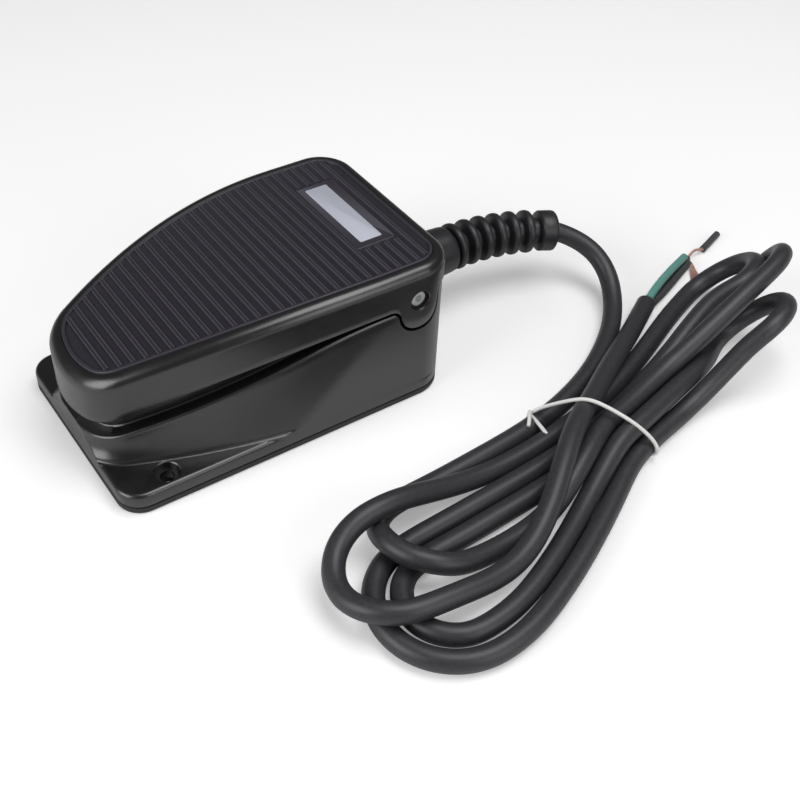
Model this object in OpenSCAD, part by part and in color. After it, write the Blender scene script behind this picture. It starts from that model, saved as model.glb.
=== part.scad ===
/* [Base casting] */
// Length of the base flange, toe to heel
base_l = 140; // [130:1:150]
// Width of the base flange and of the casting
base_w = 90; // [86:1:94]
// Thickness of the rubber mat under the base
mat_t = 3.2; // [2.5:0.1:4]
// Height of the flange's upper face above the ground
flange_top = 9; // [8:0.1:10]
// Radius of the flange's toe corners
toe_corner_r = 9.5; // [8:0.5:12]
// Radius of the flange's heel corners
heel_corner_r = 14.5; // [12:0.5:16]
// Height of the casting's ledge at the heel side of its slope
ledge_h = 40.1; // [39:0.1:41]
// Fall of the ledge per millimetre towards the toe
ledge_fall = 0.31; // [0.28:0.005:0.33]

/* [Pedal] */
// Highest point of the pedal above the ground
pedal_h = 62; // [61:0.5:64]
// Radius of the pedal's arch, seen from the side
arch_r = 270; // [250:5:290]
// Radius of the rounding along the pedal's upper edge
edge_r = 4; // [3:0.5:4.5]
// Thickness of the pedal's skirt
skirt_t = 3; // [2.5:0.1:3.5]
// Thickness of the pedal's plate
plate_t = 4; // [3.5:0.1:5]
// Distance from one tread rib to the next
rib_pitch = 4.27; // [4.1:0.01:4.6]
// Width of one tread rib at its foot
rib_w = 1.8; // [1.5:0.1:2.2]

/* [Hinge] */
// Distance of the hinge axis from the middle of the base
pivot_x = 53.2; // [52:0.1:54]
// Height of the hinge axis
pivot_z = 48.1; // [47.5:0.1:48.5]
// Diameter of the hinge pins
pin_d = 6; // [5:0.5:6]
// Thickness of the pedal's hinge lugs
lug_t = 5.5; // [5:0.1:5.8]

/* [Switch] */
// Length of the snap switch
switch_l = 27.8; // [27:0.1:28.5]
// Width of the snap switch
switch_w = 10.3; // [10:0.1:10.6]
// Height of the snap switch's case
switch_h = 15.9; // [15.5:0.1:16.2]

/* [Cord] */
// Diameter of the cord
cord_d = 8.2; // [7.8:0.1:8.6]
// Height of the cord's exit above the ground
cord_z = 27; // [25:0.5:28]
// Thickness of the tied bundle of cord
hank_t = 18; // [16:1:20]

/* [Hidden] */
$fn = 48;

half_l = base_l / 2;
half_w = base_w / 2;

// Plan of the pedal: nose, toe corner, bowed side, heel corner
toe_x = -half_l - 1;
heel_x = half_l + 1;
nose_r = 45;
toe_r = 18;
side_r = 260;
side_x = 42;
heel_r = 15;
nose_c = [toe_x + nose_r, 0];
side_c = [side_x, half_w - side_r];
heel_c = [heel_x - heel_r, half_w - heel_r];
// The toe corner's arc touches the nose arc and the side arc from inside
gap = side_c - nose_c;
span = norm(gap);
reach_n = nose_r - toe_r;
reach_s = side_r - toe_r;
along = (reach_n * reach_n - reach_s * reach_s + span * span) / (2 * span);
across = sqrt(reach_n * reach_n - along * along);
toe_c = nose_c + along * gap / span + across * [gap[1], -gap[0]] / span;
nose_a = atan2(toe_c[1] - nose_c[1], toe_c[0] - nose_c[0]);
side_a = atan2(toe_c[1] - side_c[1], toe_c[0] - side_c[0]);

function arc(c, r, a, b, n) = [for (i = [0 : n]) c + r * [cos(a + (b - a) * i / n), sin(a + (b - a) * i / n)]];
// One half of the plan, from the nose to the heel, set in by d
function half_plan(d) = concat(
    arc(nose_c, nose_r - d, 180, nose_a, 3),
    [for (i = [1 : 6]) arc(toe_c, toe_r - d, nose_a, side_a, 6)[i]],
    [for (i = [1 : 8]) arc(side_c, side_r - d, side_a, 90, 8)[i]],
    [[side_x + 6, half_w - d]],
    arc(heel_c, heel_r - d, 90, 0, 5));
function mirrored(h) = [for (i = [len(h) - 1 : -1 : 1]) [h[i][0], -h[i][1]]];
function full_plan(d) = let (h = half_plan(d)) concat(h, mirrored(h));
// Half the width of the plan at x, set in by d
function plan_half(x, d) = x > side_x ? half_w - d
    : side_c[1] + sqrt(pow(side_r - d, 2) - pow(side_x - x, 2));

// Heights along the pedal and the casting
skirt_h = 47.2;
skirt_fall_r = 270;
heel_skirt_h = 51;
heel_wall_h = 50.6;
step_x = 50;
flat_x = 35;
function arch(x) = pedal_h - pow(max(0, flat_x - x), 2) / (2 * arch_r);
function skirt(x) = x > step_x ? heel_skirt_h : skirt_h - pow(max(0, side_x - x), 2) / (2 * skirt_fall_r);
ledge_x = 5;
ledge_rise = 5.6;
ledge_run = 35;
function ledge(x) = x > step_x ? heel_wall_h
    : x < ledge_x ? ledge_h + (x - ledge_x) * ledge_fall
    : ledge_h + ledge_rise * (1 - pow(max(0, ledge_x + ledge_run - x) / ledge_run, 2));

floor_z = 8.5;
foot_flare = 3.3;
rim_inset = 5.2;
rim_rise = 4;
wall_inset = 8.2;
tread_inset = 5;
tread_depth = 1.5;
plan_n = len(full_plan(0));
half_n = len(half_plan(0));

// A closed skin through rings that share the plan's point order
module skin(rings) {
    n = plan_n;
    m = len(rings);
    points = [for (r = rings) for (p = r) p];
    sides = [for (k = [0 : m - 2]) for (i = [0 : n - 1]) for (t = [0, 1])
        let (a = k * n + i, b = k * n + (i + 1) % n)
        t == 0 ? [a, b, b + n] : [a, b + n, a + n]];
    caps = [for (k = [0, m - 1]) for (i = [0 : half_n - 2])
        let (a = k * n + i, b = a + 1, c = k * n + n - i - 1, d = k * n + (n - i) % n)
        let (face = i == 0 ? [a, b, c] : [a, b, c, d])
        k == 0 ? [for (j = [len(face) - 1 : -1 : 0]) face[j]] : face];
    polyhedron(points, concat(sides, caps), convexity = 6);
}

// A tube through route points: rings of n sides with radius r(i)
function unit(v) = v / norm(v);
function heading(p, i) = unit(p[min(i + 1, len(p) - 1)] - p[max(i - 1, 0)]);
function side_of(h) = unit(cross([0, 0, 1], h));
function ring3(c, h, r, n) = let (u = side_of(h), v = cross(h, u))
    [for (j = [0 : n - 1]) c + r * (u * cos(360 * j / n) + v * sin(360 * j / n))];
module tube(route, radii, n) {
    m = len(route);
    points = [for (i = [0 : m - 1]) for (p = ring3(route[i], heading(route, i), radii[i], n)) p];
    faces = [for (i = [0 : m - 2]) for (j = [0 : n - 1]) for (t = [0, 1])
        let (a = i * n + j, b = i * n + (j + 1) % n)
        t == 0 ? [b + n, b, a] : [a + n, b + n, a]];
    start = [for (j = [0 : n - 1]) j];
    end = [for (j = [n - 1 : -1 : 0]) (m - 1) * n + j];
    polyhedron(points, concat(faces, [start, end]), convexity = 6);
}
// A smooth curve through hand-set points
function spline_at(p, i, t) = let (a = p[max(i - 1, 0)], b = p[i], c = p[i + 1], d = p[min(i + 2, len(p) - 1)])
    0.5 * (2 * b + (c - a) * t + (2 * a - 5 * b + 4 * c - d) * t * t + (3 * b - a - 3 * c + d) * t * t * t);
function smooth(p, k) = concat([for (i = [0 : len(p) - 2]) for (s = [0 : k - 1]) spline_at(p, i, s / k)], [p[len(p) - 1]]);
function same(r, n) = [for (i = [1 : n]) r];

// A hex key's socket, sunk from the origin along -Z
module socket(af, depth) {
    translate([0, 0, -depth]) cylinder(d = af / cos(30), h = depth + 1, $fn = 6);
}
module sides() {
    children();
    mirror([0, 1, 0]) children();
}
// A cylinder along +Y, from y0 to y1
module across_y(x, z, y0, y1, r) {
    translate([x, y0, z]) rotate([-90, 0, 0]) cylinder(r = r, h = y1 - y0);
}

// ---- Base ----
hole_x = -51;
hole_y = 38;
hole_r = 2.75;
counterbore_r = 4.8;
counterbore_depth = 2.4;
lug_r = 8.2;
lug_z = 43.9;
lug_fillet = 5;
lug_gap = 1.1;
lug_in = half_w - lug_t;
recess_in = lug_in - 1;
boss_in = 29;
boss_r = 8.4;
pin_r = pin_d / 2;
neck_r = 7.9;
heel_wall_x = heel_x - wall_inset;

module flange_plan(grow) {
    r1 = toe_corner_r + grow;
    r2 = heel_corner_r + grow;
    hull() for (s = [-1, 1]) {
        translate([-half_l + toe_corner_r, s * (half_w - toe_corner_r)]) circle(r = r1, $fn = 64);
        translate([half_l - heel_corner_r, s * (half_w - heel_corner_r)]) circle(r = r2, $fn = 64);
    }
}
module lug_plan(grow) {
    translate([pivot_x, lug_z]) circle(r = lug_r + grow);
    translate([pivot_x - lug_r - grow, lug_z]) square([2 * (lug_r + grow), pedal_h - plate_t - lug_z + 0.2]);
    // Fillet that carries the skirt's lower edge down into the lug
    translate([pivot_x - lug_r - lug_fillet, skirt_h - lug_fillet]) difference() {
        square([lug_fillet + 1, lug_fillet + 1]);
        circle(r = lug_fillet - grow);
    }
}
// A lug's profile stood upright, from y0 out to y1
module lug_block(grow, y0, y1) {
    translate([0, y1, 0]) rotate([90, 0, 0]) linear_extrude(y1 - y0) lug_plan(grow);
}

// The casting stays inside the flange, whose toe and heel bow out very slightly
toe_bow = 0.001;
heel_bow = 0.0001;
function clip_x(p) = min(max(p[0], toe_bow * p[1] * p[1] - half_l), half_l - heel_bow * p[1] * p[1]);
function clip_y(p) = min(max(p[1], -half_w), half_w);
function foot_ring(flare, z) = [for (p = full_plan(-flare)) [clip_x(p), clip_y(p), z]];
function ledge_ring(d, rise) = [for (p = full_plan(d)) [clip_x(p), p[1], ledge(p[0]) + rise]];

spring_x = -36;
buffer_x = -48;
buffer_y = 12;
pillar_top = 25;
bracket_screw_x = [-1, 21];
bracket_screw_y = 16;
clamp_x = 48;
clamp_y = 10;
earth_x = 30;
earth_y = 24;
boss_h = 12;
module screw_boss(x, y, top, r) {
    translate([x, y, floor_z - 1]) difference() {
        cylinder(r = r, h = top - floor_z + 1);
        translate([0, 0, 2]) cylinder(r = 1.5, h = top);
    }
}

module base_housing() {
    color("#1b1b1e") {
        difference() {
            union() {
                translate([0, 0, mat_t]) linear_extrude(flange_top - mat_t - 1) flange_plan(0);
                translate([0, 0, flange_top - 1.01]) linear_extrude(1.01) flange_plan(-0.6);
                skin([foot_ring(foot_flare, flange_top - 0.5), foot_ring(foot_flare - 0.4, flange_top + 3), ledge_ring(0, -1), ledge_ring(0.8, 0)]);
                skin([ledge_ring(rim_inset, -8), ledge_ring(rim_inset, rim_rise)]);
                sides() across_y(pivot_x, pivot_z, boss_in, recess_in, boss_r);
            }
            skin([[for (p = full_plan(wall_inset)) [p[0], p[1], floor_z]], [for (p = full_plan(wall_inset)) [p[0], p[1], 46]]]);
            skin([[for (p = full_plan(wall_inset)) [p[0], p[1] * 0.78, 45.5]], [for (p = full_plan(wall_inset)) [p[0], p[1] * 0.78, pedal_h]]]);
            translate([-80, -half_w, 45.9]) cube([80 + pivot_x - lug_r - 4, base_w, 20]);
            sides() lug_block(lug_gap, recess_in, half_w + 2);
            sides() across_y(pivot_x, pivot_z, boss_in - 1, recess_in + 1, pin_r);
            translate([heel_wall_x - 1, 0, cord_z]) rotate([0, 90, 0]) cylinder(r = neck_r, h = 20);
            for (s = [-1, 1]) translate([hole_x, s * hole_y, 0]) {
                cylinder(r = hole_r, h = flange_top + 1);
                translate([0, 0, flange_top - counterbore_depth]) cylinder(r = counterbore_r, h = 5);
            }
        }
        difference() {
            translate([spring_x, 0, floor_z - 1]) cylinder(r = 10.5, h = 3);
            translate([spring_x, 0, floor_z]) cylinder(r = 3, h = 3);
        }
        for (s = [-1, 1]) {
            translate([buffer_x, s * buffer_y, floor_z - 1]) cylinder(r1 = 6, r2 = 5.2, h = pillar_top - floor_z + 1);
            screw_boss(clamp_x, s * clamp_y, cord_z - 7, 3.6);
        }
        for (x = bracket_screw_x) screw_boss(x, bracket_screw_y, boss_h, 3.8);
        screw_boss(earth_x, earth_y, boss_h, 4);
    }
}

module base_mat() {
    color("#141415") difference() {
        union() {
            linear_extrude(mat_t - 0.5) flange_plan(0);
            translate([0, 0, mat_t - 0.51]) linear_extrude(0.51) flange_plan(-1);
        }
        for (s = [-1, 1]) translate([hole_x, s * hole_y, -1]) cylinder(r = hole_r + 1, h = mat_t + 2);
    }
}

pin_out = half_w - 1.7;
module hinge_pins() {
    color("#b9b9bb") sides() difference() {
        across_y(pivot_x, pivot_z, boss_in + 1, pin_out, pin_r);
        translate([pivot_x, pin_out, pivot_z]) rotate([-90, 0, 0]) socket(3, 2.5);
    }
}
module thrust_washers() {
    color("#9a9a9c") sides() difference() {
        across_y(pivot_x, pivot_z, recess_in + 0.1, lug_in - 0.1, 6.8);
        across_y(pivot_x, pivot_z, recess_in - 1, lug_in + 1, pin_r + 0.1);
    }
}

// ---- Snap switch ----
switch_x0 = -4;
switch_z0 = 24;
switch_top = switch_z0 + switch_h;
lever_x = 20;
lever_z = switch_top + 1.5;
lever_pin_r = 0.8;
lever_a = 9;
lever_len = 19.5;
button_x = 12.5;
button_r = 1.4;
contact_x = 2;
fixing_x = [1, 19];
fixing_z = switch_z0 + 3;
bracket_y = switch_w / 2;
bracket_t = 1.6;

module switch_case() {
    color("#22262c") difference() {
        union() {
            translate([switch_x0, -switch_w / 2, switch_z0]) cube([switch_l, switch_w - 2, switch_h]);
            for (y = [-switch_w / 2, switch_w / 2 - 3.4])
                translate([lever_x - 2, y, switch_top - 0.1]) cube([4, 1.4, 2.8]);
        }
        translate([button_x, 0, switch_top - 9]) cylinder(r = button_r + 0.05, h = 20);
        across_y(lever_x, lever_z, -switch_w, switch_w, lever_pin_r);
        for (x = fixing_x) across_y(x, fixing_z, -switch_w, switch_w, 1.55);
    }
}
module switch_cover() {
    color("#2c3138") difference() {
        translate([switch_x0, switch_w / 2 - 2, switch_z0]) cube([switch_l, 2, switch_h]);
        for (x = fixing_x) across_y(x, fixing_z, -switch_w, switch_w, 1.55);
        translate([switch_x0 - 1, switch_w / 2 - 0.6, switch_top - 1]) cube([switch_l + 2, 2, 3]);
    }
}
module switch_terminals() {
    color("#c9a24a") for (x = [-1, 9, 19]) translate([x - 1.6, -2.9, switch_z0 - 8]) difference() {
        cube([3.2, 0.8, 8]);
        translate([1.6, 2, 2.6]) rotate([90, 0, 0]) cylinder(r = 0.8, h = 4);
    }
}
module lever_pin() {
    color("#c4c4c6") across_y(lever_x, lever_z, -switch_w / 2, switch_w / 2 - 2, lever_pin_r);
}
module switch_lever() {
    color("#b4b5b8") translate([lever_x, 0, lever_z]) rotate([0, lever_a, 0]) difference() {
        union() {
            translate([0, 1.5, 0]) rotate([90, 0, 0]) cylinder(r = 1.35, h = 4.8);
            translate([-lever_len, -3.2, 0.85]) cube([lever_len, 4.6, 0.5]);
            translate([-lever_len, 1.4, 0.85 + 0.25]) rotate([90, 0, 0]) cylinder(r = 0.45, h = 4.6);
        }
        translate([0, 10, 0]) rotate([90, 0, 0]) cylinder(r = lever_pin_r + 0.05, h = 20);
    }
}
button_top = lever_z + 0.85 / cos(lever_a) + (lever_x - button_x) * tan(lever_a) - 0.45;
module switch_button() {
    color("#8f1d1d") translate([button_x, 0, switch_top - 6]) {
        cylinder(r = button_r, h = button_top - switch_top + 6 - 0.6);
        translate([0, 0, button_top - switch_top + 6 - 0.61]) cylinder(r1 = button_r, r2 = 0.9, h = 0.6);
    }
}
module switch_bracket() {
    color("#a9abad") {
        difference() {
            translate([switch_x0 - 2, bracket_y + 0.02, boss_h]) cube([switch_l + 4, bracket_t, switch_z0 - boss_h + 9]);
            for (x = fixing_x) across_y(x, fixing_z, 0, 20, 1.55);
        }
        difference() {
            translate([switch_x0 - 2, bracket_y + 0.02, boss_h]) cube([switch_l + 4, 15, bracket_t]);
            for (x = bracket_screw_x) translate([x, bracket_screw_y, 0]) cylinder(r = 1.7, h = 30);
        }
    }
}
// A cross-recessed pan head screw standing on its head's underside
module pan_screw(r, len, head_r, head_h) {
    difference() {
        union() {
            translate([0, 0, -len]) cylinder(r = r, h = len + 0.1);
            rotate_extrude() polygon(concat([[0, 0], [head_r, 0]], [for (a = [0 : 15 : 90]) [head_r * cos(a * 0.8), head_h * (0.45 + 0.55 * sin(a))]], [[0, head_h]]));
        }
        for (a = [0, 90]) rotate([0, 0, a]) translate([-head_r * 0.55, -0.35, head_h * 0.35]) cube([head_r * 1.1, 0.7, head_h]);
    }
}
module bracket_screws() {
    color("#c8c8ca") for (x = bracket_screw_x)
        translate([x, bracket_screw_y, boss_h + bracket_t]) pan_screw(1.45, 3.8, 3, 2);
}
module switch_screws() {
    color("#c8c8ca") for (x = fixing_x)
        translate([x, -switch_w / 2, fixing_z]) rotate([90, 0, 0]) pan_screw(1.5, switch_w + bracket_t + 1, 2.8, 1.8);
}

// ---- Spring, buffers, cable parts ----
spring_r = 7;
wire_r = 0.9;
spring_z0 = floor_z + 2;
seat_z = 44.6;
spring_turns = 7;
spring_steps = 14;
spring_h = seat_z - spring_z0 - 2 * wire_r - 0.05;
function coil_z(t) = let (e = 1 / spring_turns) spring_h * (t < e ? t * 0.35 : t > 1 - e ? 1 - (1 - t) * 0.35 : 0.35 * e + (t - e) * (1 - 0.7 * e) / (1 - 2 * e));
module return_spring() {
    n = spring_turns * spring_steps;
    route = [for (i = [0 : n]) [spring_x + spring_r * cos(360 * i / spring_steps), spring_r * sin(360 * i / spring_steps), spring_z0 + wire_r + coil_z(i / n)]];
    color("#8d8f92") tube(route, same(wire_r, n + 1), 6);
}
module spring_guide() {
    color("#3a3d42") translate([spring_x, 0, 0]) {
        translate([0, 0, floor_z + 0.1]) cylinder(r = 2.9, h = 3);
        translate([0, 0, spring_z0]) cylinder(r1 = 5.5, r2 = 4.6, h = 11);
    }
}
module stop_buffers() {
    color("#0f0f10") for (s = [-1, 1]) translate([buffer_x, s * buffer_y, pillar_top]) {
        cylinder(r = 5.2, h = 5.2);
        translate([0, 0, 5.19]) cylinder(r1 = 5.2, r2 = 3.8, h = 1.46);
    }
}
cord_r = cord_d / 2;
module cable_clamp() {
    color("#a9abad") difference() {
        translate([clamp_x - 4, -clamp_y - 4, cord_z - 7]) union() {
            cube([8, 2 * clamp_y + 8, 1.6]);
            translate([0, clamp_y - 1.6, 0]) cube([8, 11.2, 12.8]);
        }
        translate([clamp_x - 5, 0, cord_z]) rotate([0, 90, 0]) cylinder(r = cord_r + 0.05, h = 10);
        translate([clamp_x - 5, -3.4, cord_z - 8]) cube([10, 6.8, 4]);
        for (s = [-1, 1]) translate([clamp_x, s * clamp_y, cord_z - 10]) cylinder(r = 1.7, h = 10);
    }
}
module clamp_screws() {
    color("#c8c8ca") for (s = [-1, 1]) translate([clamp_x, s * clamp_y, cord_z - 5.4]) pan_screw(1.45, 6, 3, 2);
}
module earth_terminal() {
    color("#c9a24a") difference() {
        union() {
            translate([earth_x, earth_y, boss_h]) cylinder(r = 3.9, h = 0.9);
            translate([earth_x + 2, earth_y - 1.5, boss_h]) cube([7, 3, 0.9]);
            translate([earth_x + 6, earth_y, boss_h + 1.8]) rotate([0, 90, 0]) cylinder(r = 1.9, h = 6);
        }
        translate([earth_x, earth_y, 0]) cylinder(r = 1.7, h = 30);
    }
}
module earth_screw() {
    color("#c8c8ca") translate([earth_x, earth_y, boss_h + 0.9]) pan_screw(1.45, 3.2, 3, 2);
}

// Inner leads, from the cord's stub to their terminals
lead_r = 1.3;
stub_x0 = 40;
module lead(route) {
    curve = smooth(route, 4);
    tube(curve, same(lead_r, len(curve)), 8);
}
module wire_earth() {
    color("#2f8f63") lead([[40, 1.6, 28], [37, 1.8, 28], [34.5, 7, 26], [38, 17, 21], [44.5, 23, 16], [44, 24, 13.8], [42.2, 24, 13.8]]);
}
module wire_common() {
    color("#ececec") lead([[40, -1.9, 28], [37, -2, 27.6], [32, -3, 24], [27.5, -3, 15], [22, -2.7, 10.4], [19, -2.5, 13], [19, -2.5, 15.8]]);
}
module wire_switched() {
    color("#1a1a1c") lead([[40, 0, 24.9], [37, -0.6, 24.8], [31, -6, 20], [22, -9.5, 11.5], [8, -9.5, 10.2], [0, -7, 10.2], [-1, -3, 12.6], [-1, -2.5, 15.8]]);
}
module spade_sleeves() {
    color("#b3272d") for (x = [-1, 19]) translate([x, -2.5, switch_z0 - 9]) difference() {
        translate([-2.4, -1.6, 0]) cube([4.8, 3.2, 7]);
        translate([-1.65, -0.45, 0.9]) cube([3.3, 0.9, 8]);
        translate([0, 0, -1]) cylinder(r = lead_r, h = 2);
    }
}
module cord_stub() {
    color("#17171a") translate([stub_x0, 0, cord_z]) rotate([0, 90, 0]) cylinder(r = cord_r, h = boot_x0 - stub_x0);
}

// ---- Cord and its boot ----
boot_x0 = 101;
boot_l = 50.5;
boot_run = 49;
boot_sway = 10;
boot_drop = 3;
function boot_at(s) = [boot_x0 + boot_run * s, -boot_sway * s * s, cord_z - boot_drop * s * s];
module gland_sleeve() {
    color("#141416") difference() {
        translate([0, 0, cord_z]) rotate([0, 90, 0]) union() {
            translate([0, 0, heel_wall_x - 2.6]) cylinder(r = 10.4, h = 2.5);
            translate([0, 0, heel_wall_x - 0.2]) cylinder(r = neck_r, h = half_l - heel_wall_x + 0.3);
            rotate_extrude() polygon(concat(
                [[0, half_l + 0.02], [10.6, half_l + 0.02], [11, half_l + 0.8]],
                [for (t = [0 : 0.2 : 1]) [10.9 - 1.2 * t * t, half_l + 2 + (boot_x0 - half_l - 4) * t]],
                [[9, boot_x0 - 0.8], [8.6, boot_x0], [0, boot_x0]]));
        }
        translate([0, 0, cord_z]) rotate([0, 90, 0]) cylinder(r = cord_r, h = 200);
    }
}
rib_n = 6;
boot_rib_pitch = 7.1;
boot_rib_t = 4.2;
core_r = 5.2;
collar_r = 8.8;
// Radius of the boot at distance t along it: ribs on a thin core, then the collar
function boot_r(t) = let (k = floor(t / boot_rib_pitch), u = t - k * boot_rib_pitch)
    t > rib_n * boot_rib_pitch ? collar_r : u < boot_rib_t ? 9.9 - 0.16 * k : core_r;
function boot_steps() = concat(
    [for (k = [0 : rib_n - 1]) for (e = [[0.001, 0.9], [0.9, 1], [boot_rib_t - 0.9, 1], [boot_rib_t, 0.9], [boot_rib_t + 0.2, 0], [boot_rib_pitch - 0.1, 0]])
        [k * boot_rib_pitch + e[0], core_r + (9.9 - 0.16 * k - core_r) * e[1]]],
    [[rib_n * boot_rib_pitch + 1.2, collar_r - 0.4], [rib_n * boot_rib_pitch + 2, collar_r], [boot_l - 1, collar_r], [boot_l, collar_r - 0.9]]);
module strain_relief() {
    steps = boot_steps();
    color("#141416") tube([for (s = steps) boot_at(s[0] / boot_l)], [for (s = steps) s[1]], 20);
}

// Route of the cord from the boot to the tie, and of its free end beyond the tie
lead_route = [[150, -10, 24], [156.5, -14.5, 21.5], [162, -22, 18], [163.5, -30, 13.5], [162, -38, 9],
    [155, -48.5, 5], [144.5, -58.5, 4.1], [131.5, -67.5, 4.1], [118, -75, 4.1]];
tail_route = [[104, -92.4, 13.7], [116, -84.9, 12.4], [131, -76, 9.8], [146, -67.4, 6.2],
    [158, -60, 4.3], [170, -53, 4.1]];
module cord_run(route) {
    curve = smooth(route, 1);
    color("#17171a") tube(curve, same(cord_r, len(curve)), 10);
}
module cord_lead() {
    cord_run(lead_route);
}
module cord_tail() {
    cord_run(tail_route);
}
// Outer shape of the tied bundle, as discs [x, y, radius] round the ends of its loops
toe_loops = [[14, -109, 22], [-9, -120, 24], [5, -135, 30], [107, -98, 23]];
heel_loops = [[112, -102, 18], [205, -91, 20], [233, -82, 21], [221, -71, 21]];
module lobe(discs) {
    hull() for (c = discs) translate([c[0], c[1]]) circle(r = c[2], $fn = 40);
}
module cord_hank() {
    color("#17171a") linear_extrude(hank_t) {
        lobe(toe_loops);
        lobe(heel_loops);
    }
}
// Bared conductors as [x, y, z, radius]: earth, one pole, and the pole whose bare strands
// still carry the cut end of their insulation
core_ends = [
    [[169.5, -53.4, 5.6, 1.6], [179, -48.8, 5.4, 1.6], [188, -44.8, 5.2, 1.6], [198, -41, 5, 1.6],
        [207.5, -37.8, 4.8, 1.6]],
    [[170.5, -54.2, 2.8, 1.6], [182, -50.2, 2, 1.6], [193, -45.8, 1.8, 1.6], [201, -42.4, 1.7, 1.6],
        [209, -39.4, 1.7, 1.6]],
    [[169.5, -51.4, 3.4, 1.6], [180, -47, 2, 1.6], [191, -42.6, 1.8, 1.6], [201, -39.6, 1.7, 1.6],
        [210.5, -36.8, 1.8, 1.6], [212, -36.3, 2, 0.7], [216, -35, 3, 0.7], [219.5, -34.8, 3, 0.7],
        [222, -35.3, 1.9, 0.7], [223.4, -34.9, 1.8, 1.5], [230.5, -32.4, 1.7, 1.5],
        [237.9, -29.7, 1.7, 1.5]]];
module cord_conductors() {
    color("#2f8f63") for (core = core_ends) {
        curve = smooth(core, 2);
        tube([for (p = curve) [p[0], p[1], p[2]]], [for (p = curve) p[3]], 8);
    }
}

// ---- Pedal ----
function pedal_ring(d, drop) = [for (p = full_plan(d)) [p[0], p[1], arch(p[0]) - drop]];
function skirt_ring(d) = [for (p = full_plan(d)) [p[0], p[1], skirt(p[0])]];
striker_x = contact_x;
striker_tip = lever_z + 1.35 / cos(lever_a) + (lever_x - contact_x) * tan(lever_a) + 0.35;
nut_top = 52;
pad_top = 37.2;
// A shallow rib along the plate's underside
module stiffener(y) {
    steps = [-50 : 10 : 40];
    translate([0, y + 0.9, 0]) rotate([90, 0, 0]) linear_extrude(1.8) polygon(concat(
        [for (x = steps) [x, arch(x) - plate_t + 0.5]],
        [for (x = [40 : -10 : -50]) [x, arch(x) - plate_t - 4]]));
}
// What lies outside the plan's rounded heel corner
module heel_trim() {
    translate([heel_c[0], heel_c[1], 0]) linear_extrude(pedal_h) difference() {
        square(heel_r + 1);
        circle(r = heel_r);
    }
}
module pedal() {
    round_steps = [for (a = [0 : 30 : 90]) [edge_r * (1 - cos(a)), edge_r * (1 - sin(a))]];
    color("#1b1b1e") difference() {
        union() {
            difference() {
                skin(concat([skirt_ring(0)], [for (s = round_steps) pedal_ring(s[0], s[1])]));
                skin([[for (p = full_plan(skirt_t)) [p[0], p[1], 0]], pedal_ring(skirt_t, plate_t)]);
                skin([pedal_ring(tread_inset - 0.2, tread_depth), pedal_ring(tread_inset - 0.2, -5)]);
            }
            sides() difference() {
                lug_block(0, lug_in, half_w);
                heel_trim();
            }
            translate([spring_x, 0, seat_z]) cylinder(r = 10, h = arch(spring_x - 10) - seat_z - 2);
            translate([spring_x, 0, seat_z - 4]) cylinder(r1 = 4, r2 = 4.8, h = 5);
            translate([striker_x, 0, nut_top]) cylinder(r = 5.5, h = arch(striker_x - 5.5) - nut_top - 2);
            for (s = [-1, 1]) {
                translate([buffer_x, s * buffer_y, pad_top]) cylinder(r = 5.5, h = arch(buffer_x - 5.5) - pad_top - 2);
                stiffener(s * 20);
            }
        }
        sides() across_y(pivot_x, pivot_z, lug_in - 1, half_w + 1, pin_r + 1.05);
        translate([striker_x, 0, nut_top - 1]) cylinder(r = 2.55, h = 9);
    }
}
tread_top = 0.5;
rib_rise = 1.1;
label_x = [40, 57];
label_y = [-22.5, 23.5];
rib_x0 = toe_x + tread_inset + 6.7;
border_w = 1.5;
rib_n_tread = floor((heel_x - tread_inset - 3 - rib_x0) / rib_pitch);
// Half the length of a rib at x, short of the tread's edge
function toe_half(x, d) = let (u = toe_c[0] - x, v = nose_c[0] - x)
    x > side_c[0] + side_r * cos(side_a) ? plan_half(x, d)
    : x > nose_c[0] + nose_r * cos(nose_a) + d ? toe_c[1] + sqrt(max(0, pow(toe_r - d, 2) - u * u))
    : sqrt(max(0, pow(nose_r - d, 2) - v * v));
function heel_half(x, d) = x < heel_c[0] ? half_w - d : heel_c[1] + sqrt(max(0, pow(heel_r - d, 2) - pow(x - heel_c[0], 2)));
function rib_half(x) = min(toe_half(x, tread_inset + border_w), heel_half(x, tread_inset + border_w));
module rib(x, y0, y1) {
    slope = atan((flat_x - min(x, flat_x)) / arch_r);
    translate([x, y1, arch(x) - tread_top - 0.1]) rotate([0, -slope, 0]) rotate([90, 0, 0]) linear_extrude(y1 - y0)
        polygon([[-rib_w / 2, 0], [rib_w / 2, 0], [rib_w * 0.42, rib_rise - 0.2], [rib_w * 0.3, rib_rise],
            [-rib_w * 0.3, rib_rise], [-rib_w * 0.42, rib_rise - 0.2]]);
}
// The raised border that the ribs run into
module border() {
    difference() {
        skin([pedal_ring(tread_inset + 0.3, tread_top + 0.1), pedal_ring(tread_inset + 0.3, tread_top - 0.9)]);
        skin([pedal_ring(tread_inset + border_w, tread_top + 0.2), pedal_ring(tread_inset + border_w, tread_top - 2)]);
    }
}
module tread_mat() {
    color("#161618") {
        skin([pedal_ring(tread_inset, tread_depth - 0.02), pedal_ring(tread_inset, tread_top)]);
        border();
        for (i = [0 : rib_n_tread]) {
            x = rib_x0 + i * rib_pitch;
            h = rib_half(x);
            if (x > label_x[0] - 1 && x < label_x[1] + 1) {
                rib(x, -h, label_y[0] - 1.2);
                rib(x, label_y[1] + 1.2, h);
            } else rib(x, -h, h);
        }
        translate([label_x[0], label_y[0], pedal_h - tread_top - 0.2]) cube([label_x[1] - label_x[0], label_y[1] - label_y[0], 0.9]);
    }
}
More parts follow.
